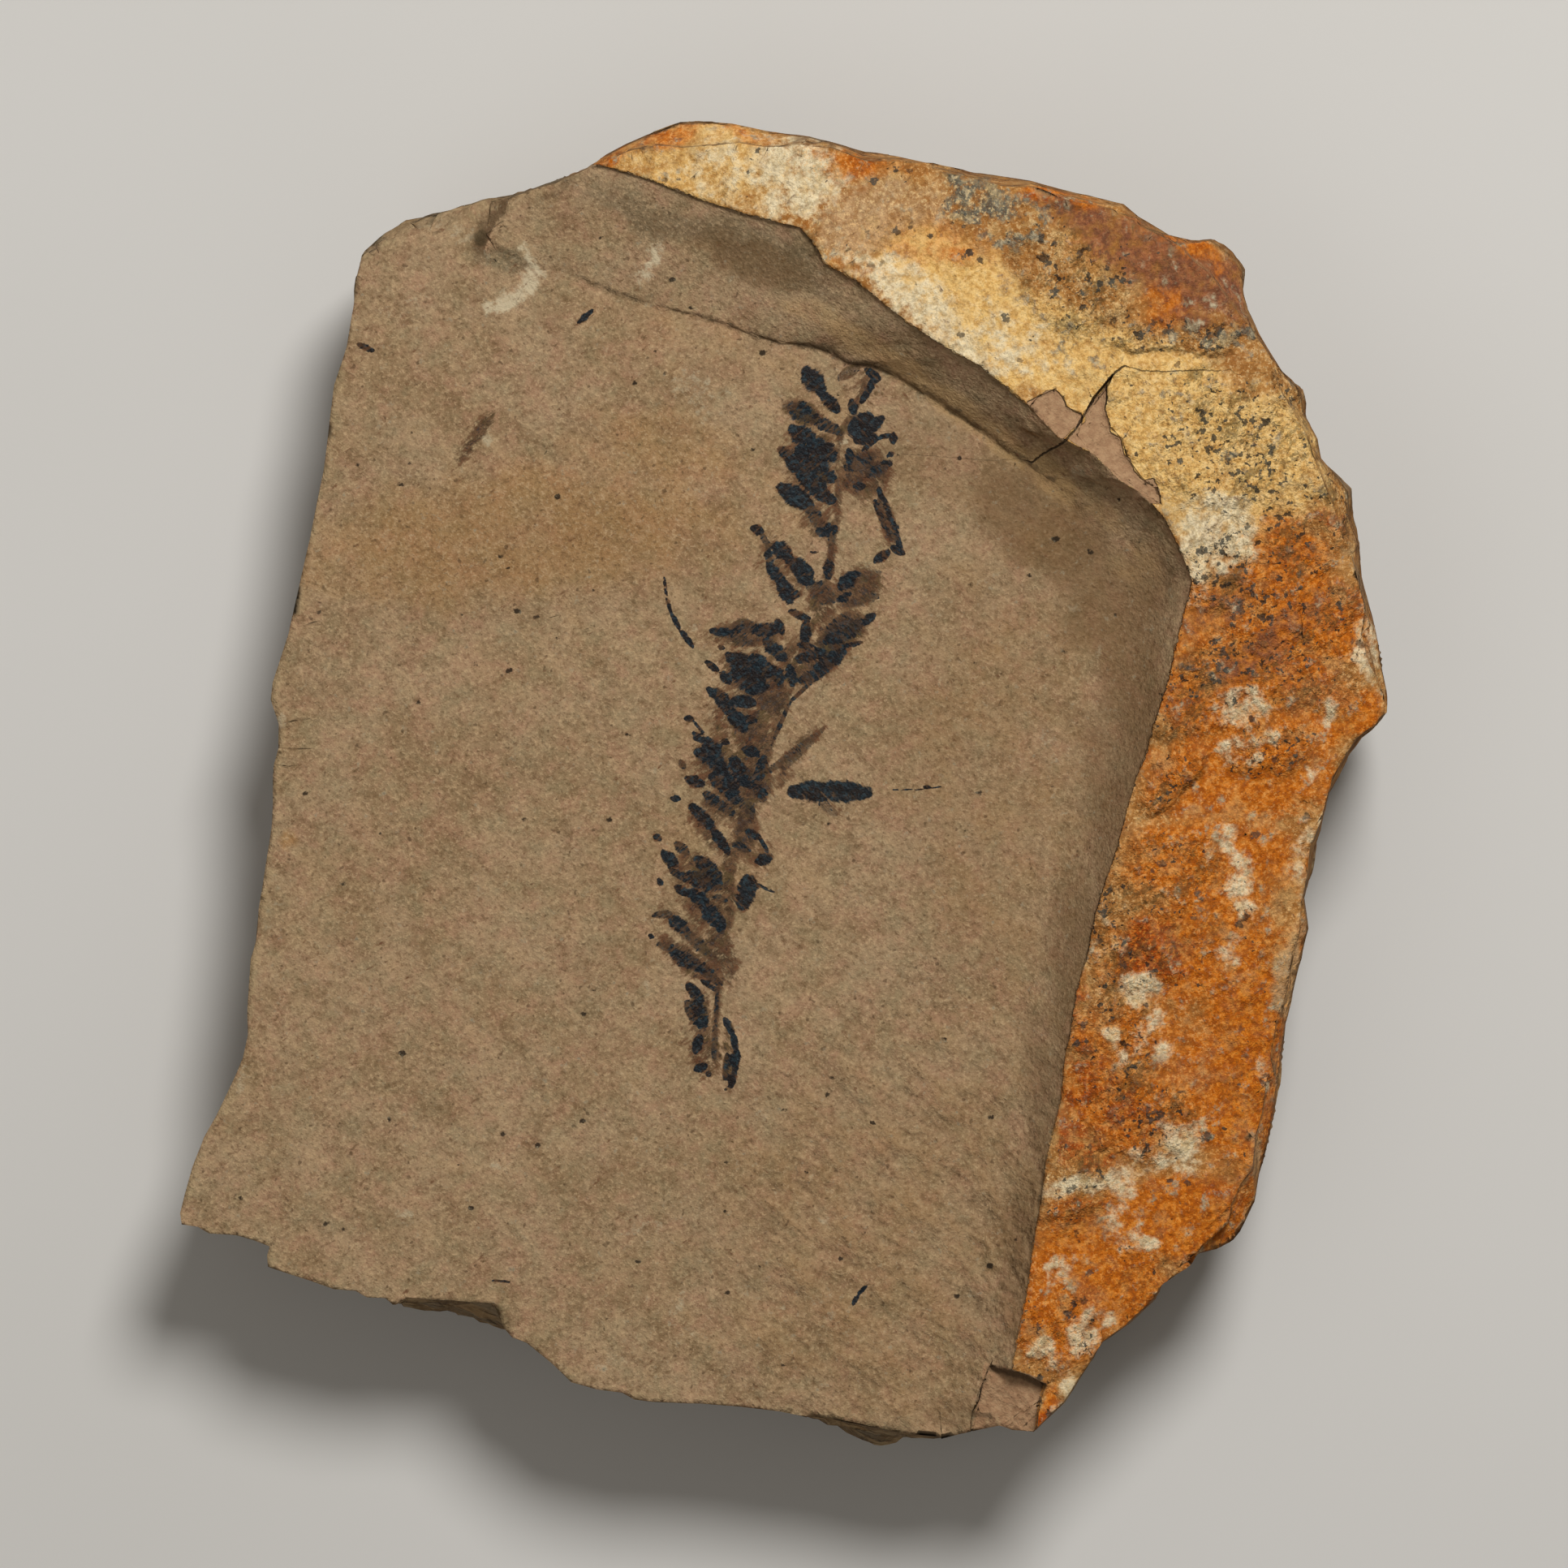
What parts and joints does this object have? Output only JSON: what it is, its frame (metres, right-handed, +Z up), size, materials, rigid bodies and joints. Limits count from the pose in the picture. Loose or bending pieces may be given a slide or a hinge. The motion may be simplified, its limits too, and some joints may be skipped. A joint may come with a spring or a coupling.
{
  "type": "fossil dawn redwood plate",
  "caption": "Broken slab of tan shale whose split face carries a flattened dawn redwood twig, with a higher iron-stained crust along its top and right edges.",
  "frame": {"origin": "middle of the plate's outline, on the flat back that it lies on", "axes": "+Z up out of the split face, +Y towards the twig's tip, which is the plate's longest way, +X towards the long side of the crust"},
  "size_m": [0.1088, 0.12, 0.0226],
  "materials": {
    "shale": "matt fine-grained tan shale with an ochre and orange iron-stained crust and a blue-black carbon film"
  },
  "bodies": {
    "root": {"plate": "shale"}
  },
  "joints": []
}
